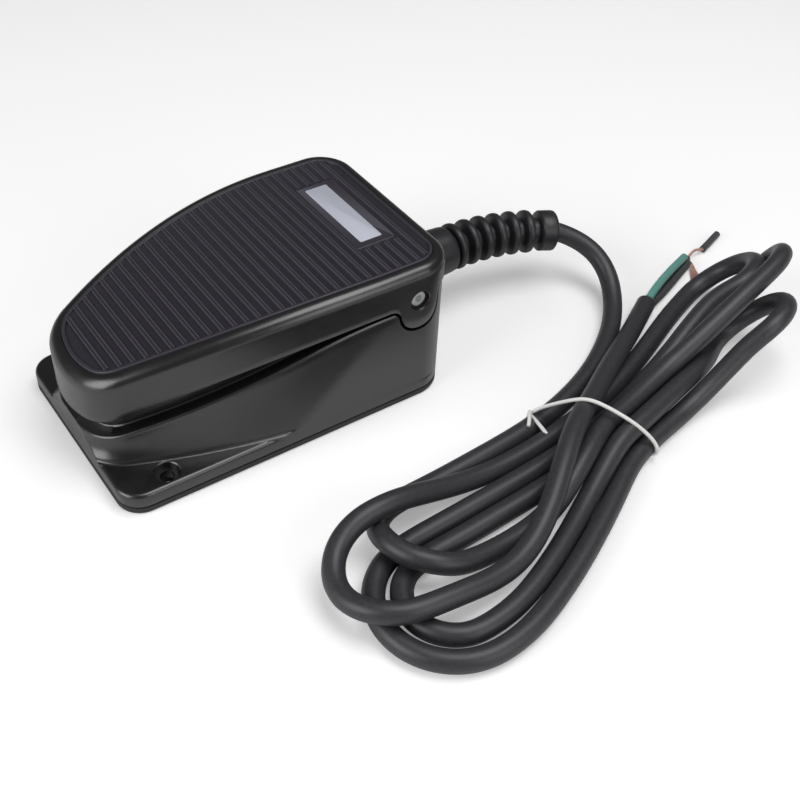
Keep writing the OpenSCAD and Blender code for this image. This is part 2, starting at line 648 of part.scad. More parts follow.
module pivot_bushes() {
    color("#8a6a3c") sides() difference() {
        across_y(pivot_x, pivot_z, lug_in, pin_out, pin_r + 1.05);
        across_y(pivot_x, pivot_z, lug_in - 1, pin_out + 1, pin_r + 0.05);
    }
}
module striker_screw() {
    color("#c8c8ca") translate([striker_x, 0, 0]) {
        translate([0, 0, striker_tip + 2.5]) cylinder(r = 2.5, h = 57 - striker_tip - 2.5);
        translate([0, 0, striker_tip + 2.5]) sphere(r = 2.5, $fn = 32);
    }
}
module striker_nut() {
    color("#b0b0b3") translate([striker_x, 0, nut_top - 4.05]) difference() {
        cylinder(d = 8 / cos(30), h = 4, $fn = 6);
        translate([0, 0, -1]) cylinder(r = 2.55, h = 6);
    }
}

base_housing();
base_mat();
hinge_pins();
thrust_washers();
switch_bracket();
bracket_screws();
switch_case();
switch_cover();
switch_screws();
switch_terminals();
lever_pin();
switch_lever();
switch_button();
return_spring();
spring_guide();
stop_buffers();
cable_clamp();
clamp_screws();
earth_terminal();
earth_screw();
wire_earth();
wire_common();
wire_switched();
spade_sleeves();
cord_stub();
gland_sleeve();
strain_relief();
cord_lead();
cord_hank();
cord_tail();
cord_conductors();
pedal();
tread_mat();
pivot_bushes();
striker_screw();
striker_nut();
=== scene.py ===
"""Looks of an industrial foot switch: a cast pedal on a cast base, with its tied cord."""
import math

import bmesh
import bpy
from mathutils import Matrix, Vector


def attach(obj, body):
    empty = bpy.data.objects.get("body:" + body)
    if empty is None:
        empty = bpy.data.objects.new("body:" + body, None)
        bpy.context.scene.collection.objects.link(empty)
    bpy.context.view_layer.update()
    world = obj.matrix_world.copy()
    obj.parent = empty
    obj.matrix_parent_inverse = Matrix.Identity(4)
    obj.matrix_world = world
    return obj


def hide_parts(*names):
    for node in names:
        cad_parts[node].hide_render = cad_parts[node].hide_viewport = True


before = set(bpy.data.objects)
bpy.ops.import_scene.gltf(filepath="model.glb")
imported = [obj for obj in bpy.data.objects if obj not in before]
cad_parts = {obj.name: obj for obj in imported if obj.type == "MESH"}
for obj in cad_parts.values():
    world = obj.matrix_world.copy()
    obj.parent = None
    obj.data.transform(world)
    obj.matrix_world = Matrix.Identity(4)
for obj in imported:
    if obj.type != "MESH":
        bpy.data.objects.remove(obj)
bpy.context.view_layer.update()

MM = 0.001

# ---- Camera ----
# A camera above the toe's left, looking down the length of the switch with a normal lens.
# Its place and axes were fitted to the base's edges, so they stand here as numbers.
eye = bpy.data.objects.new("camera", bpy.data.cameras.new("camera"))
bpy.context.scene.collection.objects.link(eye)
bpy.context.scene.camera = eye
eye.data.sensor_width = 36
eye.data.lens = 54
eye.data.clip_start = 0.02
eye_place = Vector((-0.16087, -0.32427, 0.32265))
eye_right = Vector((0.8237, -0.5658, 0.0383))
eye_back = Vector((-0.4372, -0.5904, 0.6785)).normalized()
eye_up = eye_back.cross(eye_right).normalized()
eye_right = eye_up.cross(eye_back)
turn = Matrix((eye_right, eye_up, eye_back)).transposed()
eye.matrix_world = Matrix.Translation(eye_place) @ turn.to_4x4()

# ---- Cord jacket ----
# One length of limp black three-core cord in a PVC jacket, moulded into its boot at the heel.
# It is looped to and fro, with four turns at the toe end and three at the heel end, and tied once
# in the middle. Its cut end is left bare.
cord_d = 8.2
lie = cord_d / 2  # middle height of a run that lies on the floor
boot_out = (150, -10, 24)


def finish(name, colour, rough, mottle=0.15, spot=300, grain=2600, bump=0.12, stretch=(1, 1, 1),
           metal=0.0, edge=0.0, shine=0.5):
    """A surface with mottled colour, uneven gloss and a fine grain, and lightened edges."""
    mat = bpy.data.materials.new(name)
    mat.use_nodes = True
    tree = mat.node_tree
    new, wire = tree.nodes.new, tree.links.new
    shader = tree.nodes["Principled BSDF"]
    shader.inputs["Metallic"].default_value = metal
    shader.inputs["Specular IOR Level"].default_value = shine
    where = new("ShaderNodeTexCoord")
    mapping = new("ShaderNodeMapping")
    mapping.inputs["Scale"].default_value = stretch
    wire(where.outputs["Object"], mapping.inputs["Vector"])
    broad, fine = new("ShaderNodeTexNoise"), new("ShaderNodeTexNoise")
    for noise, scale, detail in ((broad, spot, 4), (fine, grain, 2)):
        noise.inputs["Scale"].default_value = scale
        noise.inputs["Detail"].default_value = detail
        wire(mapping.outputs["Vector"], noise.inputs["Vector"])
    tone = new("ShaderNodeMix")
    tone.data_type = "RGBA"
    tone.inputs["A"].default_value = [c * (1 - mottle) for c in colour] + [1]
    tone.inputs["B"].default_value = [c * (1 + mottle) for c in colour] + [1]
    wire(broad.outputs["Fac"], tone.inputs["Factor"])
    shown = tone.outputs["Result"]
    # edge lightens sharp edges: real wear on the enamel, and a painted highlight along the tread's
    # ribs
    if edge:
        ridge = new("ShaderNodeMapRange")
        ridge.inputs["From Min"].default_value = 0.52
        ridge.inputs["From Max"].default_value = 0.62
        ridge.inputs["To Max"].default_value = edge
        wire(new("ShaderNodeNewGeometry").outputs["Pointiness"], ridge.inputs["Value"])
        wear_and_glint = new("ShaderNodeMix")
        wear_and_glint.data_type = "RGBA"
        wear_and_glint.inputs["B"].default_value = [min(1, c * 3 + 0.02) for c in colour] + [1]
        wire(ridge.outputs["Result"], wear_and_glint.inputs["Factor"])
        wire(shown, wear_and_glint.inputs["A"])
        shown = wear_and_glint.outputs["Result"]
    wire(shown, shader.inputs["Base Color"])
    gloss = new("ShaderNodeMapRange")
    gloss.inputs["To Min"].default_value = rough * 0.8
    gloss.inputs["To Max"].default_value = min(1, rough * 1.2)
    wire(broad.outputs["Fac"], gloss.inputs["Value"])
    wire(gloss.outputs["Result"], shader.inputs["Roughness"])
    relief = new("ShaderNodeBump")
    relief.inputs["Strength"].default_value = bump
    relief.inputs["Distance"].default_value = 0.1 * MM
    wire(fine.outputs["Fac"], relief.inputs["Height"])
    wire(relief.outputs["Normal"], shader.inputs["Normal"])
    return mat


def fit(piece, body, slot, mat, *nodes):
    """Puts a piece on its body, in its finish, in place of the plain solids it stands for."""
    piece.data.materials.clear()
    piece.data.materials.append(mat)
    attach(piece, body)
    if nodes:
        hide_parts(*nodes)
    return piece


def run(name, *routes, radius, round_steps=8):
    """Round runs of cord or wire, each a smooth curve near its route points in millimetres."""
    curve = bpy.data.curves.new(name, "CURVE")
    curve.dimensions = "3D"
    curve.bevel_depth = radius * MM
    curve.bevel_resolution = round_steps
    curve.resolution_u = 8
    curve.use_fill_caps = True
    for route in routes:
        line = curve.splines.new("NURBS")
        line.points.add(len(route) - 1)
        for point, place in zip(line.points, route):
            point.co = [c * MM for c in place] + [1]
        line.order_u = 4
        line.use_endpoint_u = True
    piece = bpy.data.objects.new(name, curve)
    bpy.context.scene.collection.objects.link(piece)
    return piece


def arc_angles(first, last, steps):
    """Even steps from one angle to another, given in degrees."""
    return [math.radians(first + (last - first) * i / steps) for i in range(steps + 1)]


def bight(centre, radius, first, last, heights):
    """The turn at one end of a loop: even steps round an arc, at the given heights."""
    return [(centre[0] + radius * math.cos(a), centre[1] + radius * math.sin(a), z)
            for a, z in zip(arc_angles(first, last, len(heights) - 1), heights)]


def standing_bight(centre, radius, lean, first, last, steps=10):
    """The turn at a heel end, which stands on edge and leans over to the toe's left."""
    ahead = Vector((0.92, 0.39, 0)).normalized()
    over = Vector((ahead.y, -ahead.x, 0)) * math.cos(math.radians(lean))
    over.z = math.sin(math.radians(lean))
    return [Vector(centre) + radius * (ahead * math.cos(a) + over * math.sin(a))
            for a in arc_angles(first, last, steps)]


cord_route = [
    boot_out, (156.5, -14.5, 21.5), (162, -22, 18), (163.5, -30, 13.5), (162, -38, 9),
    (155, -48.5, 5), (144.5, -58.5, lie), (131.5, -67.5, lie), (118, -75, lie), (104, -80.5, lie),
    (90, -84.5, lie), (76, -87, lie), (61, -88.5, lie), (46, -89.5, lie), (30, -90.5, lie),
    *bight((14.4, -110), 19.3, 90, 270, (4.1, 4.6, 6.2, 9.6, 12.8, 13, 12.9, 11, 8)),
    (28, -128.4, 5.2), (43, -127, lie), (56, -125, 4.8), (68, -120.9, 9.1), (82, -113.9, 13),
    (97, -105.6, 11.7), (108, -103.6, 11.3), (120, -100.5, 11.6), (138, -96.2, 13.8),
    (147, -96, 17.8), (156, -95.3, 21.6), (170, -94, 26.8), (184, -92.2, 31.6),
    *standing_bight((201.7, -79.6, 19.8), 18, 61, 108, -90),
    (186, -74, lie), (174, -78.3, lie), (164, -85.2, lie), (156, -91.7, lie), (148, -95.7, lie),
    (138, -99.2, lie), (120, -104.7, lie), (108, -108.7, lie), (97, -109.7, lie), (82, -112, lie),
    (66, -113.8, lie), (50, -115, lie), (34, -116, lie), (20, -116.9, lie),
    *bight((5.4, -134.8), 17.5, 90, 270, (lie,) * 8),
    (20, -150.8, lie), (34, -146, lie), (49, -139.2, lie), (64, -131.4, lie), (80, -123, 6.6),
    (97, -114.8, 11.3), (108, -112.8, 11.7), (120, -109.6, 11.6), (138, -104.8, 11.2),
    (148, -102.2, 11), (157, -99, 9.9), (166, -94.1, 6.9),
    *standing_bight((179.8, -99.3, 17.8), 18.2, 49, -90, 126),
    (167, -110.5, 22.8), (160, -110.4, 17.4), (153, -110.5, 12.6), (146, -110.9, 8.6),
    (138, -111.6, 5.4), (130, -113, lie), (120, -115, lie), (108, -118, lie), (97, -121.9, lie),
    (82, -131, lie), (66, -139.8, lie), (50, -148, lie), (34, -155, lie), (20, -160.2, lie),
    *bight((4.4, -135.5), 26.9, 270, 90, (lie,) * 8),
    (20, -108, lie), (38, -107, lie), (55, -106, lie), (70, -105, lie), (84, -103.4, lie),
    (97, -101, lie), (108, -99, lie), (120, -95, lie), (138, -89.7, 5), (148, -87.1, 7.5),
    (156, -85.1, 10.8), (164, -83.1, 14.6), (172, -81.7, 19), (180, -81.7, 23.6),
    *standing_bight((191.9, -71.1, 16.8), 18, 45, 118, -90),
    (171, -65.3, lie), (156, -72.2, lie), (138, -80.1, lie), (120, -86.5, lie), (108, -90.3, lie),
    (97, -92.6, lie), (82, -95, lie), (66, -96.8, lie), (50, -97.6, 4.6), (36, -98, 7.2),
    (23, -98.3, 11), (10, -98.6, 15.3), (0, -99.2, 17.2),
    *bight((-9, -119.8), 20.2, 90, 270, (16.8, 14, 11.2, 9.8, 10.6, 12.6, 12.9, 12.8)),
    (6, -140.6, 11.2), (18, -140.6, 9), (31, -138.6, 8.4), (44, -133.2, 10.6), (57, -124.7, 14.1),
    (69, -115.2, 17.4), (80.5, -106.3, 18), (92, -99.1, 16.2), (104, -92.4, 13.7),
    (116, -84.9, 12.4), (131, -76, 9.8), (146, -67.4, 6.2), (158, -60, 4.3), (170, -53, lie)]
jacket = run("cord_jacket", cord_route, radius=cord_d / 2)
jacket_pvc = finish("satin jacket PVC", (0.034, 0.033, 0.038), 0.42, mottle=0.3, spot=700,
                    grain=3200, bump=0.18)
fit(jacket, "base", "cord_pvc", jacket_pvc, "cord_lead", "cord_hank", "cord_tail")

# ---- Bundle tie ----
# A white plastic-coated wire, bent once round the whole bundle. Its two ends are twisted shut on
# the side of the switch.
tie_r = 0.75
tie_loop = [
    (80, -82.5, 0.8), (79.6, -81.6, 4), (81.4, -83.2, 9), (85.5, -88, 13.5), (90, -94.5, 19),
    (93, -98.6, 21.4), (96.5, -103.6, 20.6), (100.5, -109.5, 18.3), (104.2, -115, 15.6),
    (108.2, -120.6, 11), (110.6, -123.6, 5.5), (109.4, -122.4, 0.9), (95, -102, 0.8),
    (80, -82.5, 0.8)]
tie_tails = [
    [(80.4, -82.6, 8), (78.6, -84.6, 9.6), (76.6, -87, 9.4), (74.6, -88.9, 8.4)],
    [(80.2, -82.4, 6.8), (79.4, -85.8, 8.4), (78.6, -91, 8.6), (78.4, -95.4, 7.6)]]
tie_coat = finish("white tie coating", (0.78, 0.78, 0.76), 0.45, mottle=0.05, grain=4000)
ties = [run("bundle_tie", tie_loop, radius=tie_r)]
for i, tail in enumerate(tie_tails):
    ties.append(run(f"bundle_tie_end_{i + 1}", tail, radius=tie_r))
for tie in ties:
    fit(tie, "base", "white_pvc", tie_coat)

# ---- Bared conductors ----
# Three stranded cores where the jacket is cut back: green and black ones cut flush, and one whose
# bare copper strands fan out and still hold the cut end of their black insulation.
core_r, cut_sleeve_r, strand_r = 1.75, 1.6, 0.26
bridge_count, bridge_r = 7, 0.7
fan_count, fan_step = 9, 0.6
green_core = run("core_green", [
    (167, -55.2, 5.6), (171, -52.8, 5.7), (179, -48.8, 5.6), (188, -44.8, 5.5), (198, -41, 5.2),
    (208, -37.6, 4.9)], radius=core_r)
black_core = run("core_black", [
    (167, -56.2, 3), (171, -54.2, 2.8), (182, -50.4, 2), (193, -46, 1.8), (201, -42.6, 1.75),
    (209.5, -39.2, 1.75)], radius=core_r)
third_core = run("core_stripped", [
    (167, -54.2, 3), (171, -51.6, 3), (180, -47.6, 2.1), (191, -43, 1.8), (201, -39.8, 1.8),
    (211.5, -36.4, 1.9)], radius=core_r)
cut_sleeve = run("core_cut_sleeve", [(223, -35, 1.9), (228, -33.3, 1.8), (233, -31.4, 1.7),
                                     (238, -29.6, 1.7)], radius=cut_sleeve_r)
green_pvc = finish("green core PVC", (0.13, 0.33, 0.29), 0.38, mottle=0.15, grain=3500)
black_pvc = finish("black core PVC", (0.06, 0.062, 0.066), 0.42, mottle=0.2, grain=3500)
copper = finish("bare copper", (0.68, 0.42, 0.36), 0.4, metal=0.75, grain=6000, mottle=0.2)
fit(green_core, "base", "green_pvc", green_pvc, "cord_conductors")
for core in (black_core, third_core, cut_sleeve):
    fit(core, "base", "black_pvc", black_pvc)
bridge = []
for i in range(bridge_count):
    a = 2 * math.pi * i / bridge_count
    side, rise = bridge_r * math.cos(a), bridge_r * math.sin(a)
    bridge.append([
        (210, -37 + side, 2 + rise), (213.5, -35.9 - rise, 2.4 + side),
        (216, -35 - side, 3.2 - rise), (219, -34.7 + rise, 3.1 - side),
        (221.5, -35.2 + side, 2.2 + rise), (224, -34.7 + side, 1.9 + rise)])
fan = [[(205.4, -48.6, 0.5), (206.2, -47.6, 1), (208, -47.6, 1.4), (209.2, -49.2, 0.9)]]
for i in range(fan_count):
    spread = (i - fan_count // 2) * fan_step
    fan.append([
        (210.6, -36.6 + spread * 0.3, 2.2), (211 + spread * 0.3, -39 + spread * 0.2, 2.4),
        (208.6 + spread * 0.5, -43, 1.2), (206 + spread, -47.6, 0.6),
        (203.6 + spread * 1.3, -51.4, 0.4 + 0.3 * (i % 2))])
strands = run("core_strands", *bridge, *fan, radius=strand_r, round_steps=2)
fit(strands, "base", "bronze", copper)

# ---- Strain relief ----
# A moulded rubber boot in one piece with the cord: a tapering sleeve, six thick ribs on a thin
# flexible core, and an end collar. It bends a little with the pull of the cord.
sleeve_x, boot_x, boot_l = 70, 101, 50.5
boot_run, boot_sway, boot_drop, exit_z = 49, 10, 3, 27
rib_count, rib_step, rib_width, web_r = 6, 7.1, 4.1, 5.6
rib_crest_r, rib_crown, crest_fall = 9.95, 1.3, 0.14
boot_sides = 56
sleeve_r, sleeve_taper = 11, 1.15


def mesh_piece(name, points, faces, sharp=38):
    """A mesh from points in millimetres, smooth but for its sharp edges."""
    mesh = bpy.data.meshes.new(name)
    mesh.from_pydata([[c * MM for c in p] for p in points], [], faces)
    work = bmesh.new()
    work.from_mesh(mesh)
    bmesh.ops.remove_doubles(work, verts=work.verts, dist=1e-7)
    bmesh.ops.recalc_face_normals(work, faces=work.faces)
    work.to_mesh(mesh)
    work.free()
    mesh.shade_smooth()
    mesh.set_sharp_from_angle(angle=math.radians(sharp))
    piece = bpy.data.objects.new(name, mesh)
    bpy.context.scene.collection.objects.link(piece)
    return piece


def skin_faces(count, rings, start=0):
    """Quads between rings of count points each."""
    return [[start + k * count + i, start + k * count + (i + 1) % count,
             start + (k + 1) * count + (i + 1) % count, start + (k + 1) * count + i]
            for k in range(rings - 1) for i in range(count)]


def sweep(name, path, radii, sides=40):
    """A closed round body along a path that stays near the level, with a radius at each place."""
    points = []
    for i, place in enumerate(path):
        ahead = (path[min(i + 1, len(path) - 1)] - path[max(i - 1, 0)]).normalized()
        across = Vector((0, 0, 1)).cross(ahead).normalized()
        above = ahead.cross(across)
        for j in range(sides):
            a = 2 * math.pi * j / sides
            points.append(place + radii[i] * (across * math.cos(a) + above * math.sin(a)))
    faces = skin_faces(sides, len(path))
    faces += [list(range(sides)), list(range((len(path) - 1) * sides, len(path) * sides))]
    return mesh_piece(name, points, faces)


def boot_at(t):
    """The boot's middle line, t millimetres beyond the sleeve's straight part."""
    s = max(0, t) / boot_l
    x = boot_x + min(t, 0) + boot_run * s
    return Vector((x, -boot_sway * s * s, exit_z - boot_drop * s * s))


sleeve_steps = [(sleeve_x + 0.02, 10.4), (sleeve_x + 0.3, 10.9), (sleeve_x + 1, 11.05)]
sleeve_steps += [(sleeve_x + 2 + 2.6 * i, sleeve_r - sleeve_taper * (i / 10) ** 1.5)
                 for i in range(11)]
sleeve_steps += [(sleeve_x + 29.2, 9.6), (sleeve_x + 30, 9.0), (sleeve_x + 31, 7.6)]
boot_sleeve = sweep("boot_sleeve", [Vector((x, 0, exit_z)) for x, r in sleeve_steps],
                    [r for x, r in sleeve_steps], boot_sides)
boot_steps = [(-1.5, web_r + 1.5)]
for k in range(rib_count):
    crest = rib_crest_r - crest_fall * k
    t = k * rib_step
    boot_steps += [(t - 0.5, web_r), (t, web_r + 0.6)]
    for i in range(9):
        a = math.pi * i / 8
        boot_steps.append((t + rib_width / 2 * (1 - 0.85 * math.cos(a)),
                           crest - rib_crown + rib_crown * math.sin(a) ** 0.7))
    boot_steps += [(t + rib_width, web_r + 0.6), (t + rib_width + 0.5, web_r)]
collar_t = rib_count * rib_step
boot_steps += [
    (collar_t + 0.1, web_r), (collar_t + 0.3, 7.4), (collar_t + 0.7, 8.3), (collar_t + 1.3, 8.75),
    (boot_l - 1.5, 8.8), (boot_l - 0.7, 8.6), (boot_l - 0.2, 8), (boot_l, 7.2), (boot_l, 5),
    (boot_l - 0.6, cord_d / 2 + 0.1)]
boot_ribs = sweep("boot_ribs", [boot_at(t) for t, r in boot_steps],
                  [r for t, r in boot_steps], boot_sides)
boot_rubber = finish("moulded boot rubber", (0.021, 0.020, 0.023), 0.4, mottle=0.2, grain=2200,
                     bump=0.2)
fit(boot_sleeve, "base", "boot_rubber", boot_rubber, "gland_sleeve")
fit(boot_ribs, "base", "boot_rubber", boot_rubber, "strain_relief")

# ---- Base casting ----
# A die-cast aluminium box in satin black enamel. Its walls rise from a bolt-down flange to a ledge
# and a rim that the pedal's skirt closes over. A pocket on each side takes one of the hinge lugs.
half_l, half_w, flange_top, mat_t = 70, 45, 9, 3.2
toe_corner_r, heel_corner_r = 9.5, 14.5
nose_c, nose_r, toe_r = Vector((-26, 0)), 45, 18
side_c, side_r = Vector((42, -215)), 260
heel_c, heel_r = Vector((56, 30)), 15
pivot_x, pivot_z, lug_r, lug_z, lug_t, lug_gap = 53.2, 48.1, 8.2, 43.9, 5.5, 1.1
skirt_h, lug_fillet, heel_skirt_h = 47.2, 5, 51
back_run, back_rise = 0.1, 1.1  # each step up the lug's straight back
heel_x = 50  # from here to the heel the skirt's edge and the ledge are level
crown_x, crown_z, toe_fall = 35, 62, 540
ledge_x, ledge_z, ledge_slope = 5, 40.1, 0.31
ledge_end_x, ledge_rise, heel_ledge_z = 40, 5.6, 50.6

# The toe corner's arc touches the nose's and the side's arc: its centre is as far from each of
# their centres as the radii differ
apart = side_c - nose_c
reach_nose, reach_side = nose_r - toe_r, side_r - toe_r
along = (reach_nose ** 2 - reach_side ** 2 + apart.length_squared) / (2 * apart.length)
away = math.sqrt(reach_nose ** 2 - along ** 2)
toe_c = nose_c + apart.normalized() * along + Vector((apart.y, -apart.x)).normalized() * away
nose_a = math.atan2(*(toe_c - nose_c).yx)
side_a = math.atan2(*(toe_c - side_c).yx)


def skirt(x):
    """Height of the pedal skirt's lower edge, away from the hinge."""
    return heel_skirt_h if x > heel_x else skirt_h - max(0, side_c.x - x) ** 2 / toe_fall


def ledge(x):
    """Height of the casting's ledge: a slope at the toe, a rounded rise, and level at the heel."""
    if x > heel_x:
        return heel_ledge_z
    if x < ledge_x:
        return ledge_z + (x - ledge_x) * ledge_slope
    short = max(0, ledge_end_x - x) / (ledge_end_x - ledge_x)
    return ledge_z + ledge_rise * (1 - short ** 2)


def arch(x):
    """Height of the pedal's top face."""
    return crown_z - max(0, crown_x - x) ** 2 / toe_fall


# Stations round half the plan: centre, radius, angle, and the height of the skirt's edge there
stations = []


def add_arc(centre, radius, first, last, count, skip=1):
    """Stations at even steps round one of the plan's arcs."""
    for i in range(skip, count + 1):
        a = first + (last - first) * i / count
        x = centre[0] + radius * math.cos(a)
        stations.append((centre[0], centre[1], radius, a, skirt(x)))


def add_side(x, edge):
    """A station at x on the bowed side, the straight or the heel corner."""
    if x < side_c.x:
        stations.append((*side_c, side_r, math.acos((x - side_c.x) / side_r), edge))
    elif x < heel_c.x:
        stations.append((x, 0, half_w, math.pi / 2, edge))
    else:
        stations.append((*heel_c, heel_r, math.acos((x - heel_c.x) / heel_r), edge))


lug_front = pivot_x - lug_r
curve_x = lug_front - lug_fillet
add_arc(nose_c, nose_r, math.pi, nose_a, 12, 0)
add_arc(toe_c, toe_r, nose_a, side_a, 44)
curve_a = math.acos((curve_x - side_c.x) / side_r)
add_arc(side_c, side_r, side_a, curve_a, 110)
for a in arc_angles(0, 90, 10)[1:]:
    add_side(curve_x + lug_fillet * math.sin(a), skirt_h - lug_fillet * (1 - math.cos(a)))
for a in arc_angles(10, 180, 36)[1:]:
    add_side(pivot_x - lug_r * math.cos(a), lug_z - lug_r * math.sin(a))
for i in range(1, 7):
    add_side(pivot_x + lug_r + back_run * i, lug_z + back_rise * i)
flank_a = stations[-1][3]
for i in range(1, 31):
    a = flank_a * (1 - i / 30)
    stations.append((*heel_c, heel_r, a, heel_skirt_h))
for i in range(1, 13):
    stations.append((heel_c.x, heel_c.y * (1 - i / 12), heel_r, 0, heel_skirt_h))
half_n = len(stations)
stations += [(cx, -cy, r, -a, e) for cx, cy, r, a, e in stations[half_n - 2:0:-1]]


def plan_at(station, inset):
    """The plan's x and y at a station, set in by inset."""
    cx, cy, radius, a = station[:4]
    return cx + (radius - inset) * math.cos(a), cy + (radius - inset) * math.sin(a)


def ring(inset, height, bound=None):
    """The plan set in by inset, at a height that may depend on x and the skirt's edge."""
    points = []
    for s in stations:
        x, y = plan_at(s, inset(s) if callable(inset) else inset)
        if bound:
            x, y = bound(x, y)
        points.append((x, y, height(x, s[4]) if callable(height) else height))
    return points


def loft(name, rings, sharp=38):
    """A closed body through rings, its ends closed by strips across the plan."""
    count = len(rings[0])
    points = [p for r in rings for p in r]
    faces = skin_faces(count, len(rings))
    for start in (0, (len(rings) - 1) * count):
        for i in range(half_n - 1):
            face = [start + i, start + i + 1,
                    start + (count - i - 1) % count, start + (count - i) % count]
            faces.append(list(dict.fromkeys(face)))
    return mesh_piece(name, points, faces, sharp)


ray_x = -20  # the rays that carry the plan out to the flange start here


def flange_reach(x, y, inset):
    """How far the flange's outline lies along the ray through (x, y), as a share of its length."""
    low, high = 0.5, 4
    for i in range(30):
        s = (low + high) / 2
        px, py = ray_x + (x - ray_x) * s, abs(y) * s
        corner = toe_corner_r if px < 0 else heel_corner_r
        qx, qy = abs(px) - (half_l - corner), py - (half_w - corner)
        off = math.hypot(max(qx, 0), max(qy, 0)) + min(max(qx, qy), 0) - corner + inset
        low, high = (s, high) if off < 0 else (low, s)
    return low


def flange_ring(inset, z, foot=0):
    """The flange's outline set in by inset, but never inside the casting's foot."""
    points = []
    for s in stations:
        x, y = plan_at(s, -foot)
        share = flange_reach(x, y, inset)
        if foot:
            share = max(share, min(1, flange_reach(x, y, 0)))
        points.append((ray_x + (x - ray_x) * share, y * share, z))
    return points


def inside_flange(x, y):
    """The point itself, or the nearest one on its ray that isn't outside the flange."""
    share = min(1, flange_reach(x, y, 0))
    return ray_x + (x - ray_x) * share, y * share


foot_flare, foot_fillet, flange_round, flare_power = 3.3, 1.3, 1.7, 1.7
foot_out = foot_flare + foot_fillet
foot_z, ledge_round = flange_top + foot_fillet, 0.9
rim_inset, rim_rise, rim_max_z, rim_step = 5.2, 4, 45.9, 4
wall_inset, floor_z = 8.2, 8.5


def rounding(radius, *degrees):
    """Steps round a rounded edge: how far each lies in from the side and down from the top."""
    angles = [math.radians(a) for a in degrees]
    return [(radius * (1 - math.cos(a)), radius * (1 - math.sin(a))) for a in angles]


# Rings up the flange's edge, over its top to the wall's foot, up the flared wall to the ledge, over
# the rim, and down inside to the floor
casting = [flange_ring(0.6, mat_t + 0.1), flange_ring(0.1, mat_t + 0.3),
           flange_ring(0, mat_t + 0.7), flange_ring(0, flange_top - flange_round)]
for inward, down in rounding(flange_round, 20, 40, 60, 75, 90):
    casting.append(flange_ring(inward, flange_top - down, foot_out))
for a in (0, 22, 45, 68, 90):
    a = math.radians(a)
    casting.append(ring(-foot_out + foot_fillet * math.sin(a),
                        flange_top + 0.02 + foot_fillet * (1 - math.cos(a)), inside_flange))
for i in range(1, 11):
    t = i / 10
    casting.append(ring(-foot_flare * (1 - t) ** flare_power,
                        lambda x, e: foot_z + t * (ledge(x) - ledge_round - foot_z),
                        inside_flange))
for inward, down in rounding(ledge_round, 30, 60, 90):
    casting.append(ring(inward, lambda x, e: ledge(x) - down, inside_flange))


def rim_top(x, e):
    """Height of the rim inside the skirt, held lower ahead of the hinge."""
    top = ledge(x) + rim_rise
    return min(top, rim_max_z) if x < pivot_x - lug_r - rim_step else top


casting += [ring(rim_inset - 0.4, lambda x, e: ledge(x)),
            ring(rim_inset, lambda x, e: ledge(x) + 0.4),
            ring(rim_inset, lambda x, e: rim_top(x, e) - 0.3),
            ring(rim_inset + 0.3, rim_top), ring(wall_inset - 0.3, rim_top),
            ring(wall_inset, lambda x, e: rim_top(x, e) - 0.3),
            ring(wall_inset, floor_z + 2), ring(wall_inset + 0.6, floor_z + 0.6),
            ring(wall_inset + 2, floor_z)]
base_shell = loft("base_shell", casting)


def lathe(name, profile, place=(0, 0, 0), axis="Z", segments=48, sharp=38):
    """A turned body: profile points (radius, height) about an axis through place."""
    points, faces = [], []
    for r, h in profile:
        for j in range(segments):
            a = 2 * math.pi * j / segments
            u, v = r * math.cos(a), r * math.sin(a)
            spot = {"Z": (u, v, h), "Y": (u, h, v), "X": (h, u, v)}[axis]
            points.append([c + d for c, d in zip(spot, place)])
    faces = skin_faces(segments, len(profile))
    top = (len(profile) - 1) * segments
    faces += [list(range(segments)), list(range(top, top + segments))]
    return mesh_piece(name, points, faces, sharp)


def lug_outline(grow):
    """The hinge lug seen from the side: fillet, round foot and straight back, grown by grow."""
    line = []
    for a in arc_angles(90, 0, 8):
        line.append((curve_x + (lug_fillet - grow) * math.cos(a),
                     skirt_h - lug_fillet + (lug_fillet - grow) * math.sin(a)))
    for a in arc_angles(190, 360, 32)[1:]:
        line.append((pivot_x + (lug_r + grow) * math.cos(a),
                     lug_z + (lug_r + grow) * math.sin(a)))
    top = arch(pivot_x) - 3
    return line + [(pivot_x + lug_r + grow, top), (curve_x, top)]


def slab(name, outline, y0, y1):
    """An outline in x and z, given thickness along y."""
    count = len(outline)
    points = [(x, y, z) for y in (y0, y1) for x, z in outline]
    faces = skin_faces(count, 2) + [list(range(count)), list(range(count, 2 * count))]
    return mesh_piece(name, points, faces)


def join(pieces):
    """Several meshes as one, named for the first."""
    with bpy.context.temp_override(active_object=pieces[0], selected_editable_objects=pieces,
                                   selected_objects=pieces):
        bpy.ops.object.join()
    return pieces[0]


def cut(piece, tool, sharp=38):
    """Cuts tool's solids out of piece and removes the tool."""
    step = piece.modifiers.new("cut", "BOOLEAN")
    step.solver = "EXACT"
    step.object = tool
    graph = bpy.context.evaluated_depsgraph_get()
    shape = bpy.data.meshes.new_from_object(piece.evaluated_get(graph))
    piece.modifiers.clear()
    piece.data = shape
    shape.shade_smooth()
    shape.set_sharp_from_angle(angle=math.radians(sharp))
    bpy.data.objects.remove(tool)


both = (1, -1)
hole_x, hole_y, hole_r, sink_r, sink_depth = -51, 38, 2.75, 4.8, 2.4
recess_in = half_w - lug_t - 1
tools = [slab("tool", lug_outline(lug_gap), s * recess_in, s * (half_w + 3)) for s in both]
hole = [(hole_r, 1), (hole_r, flange_top - sink_depth), (sink_r, flange_top - sink_depth),
        (sink_r, flange_top - 0.35), (sink_r + 0.5, flange_top + 0.15),
        (sink_r + 0.5, flange_top + 4)]
for s in both:
    tools.append(lathe("tool", hole, (hole_x, s * hole_y, 0)))
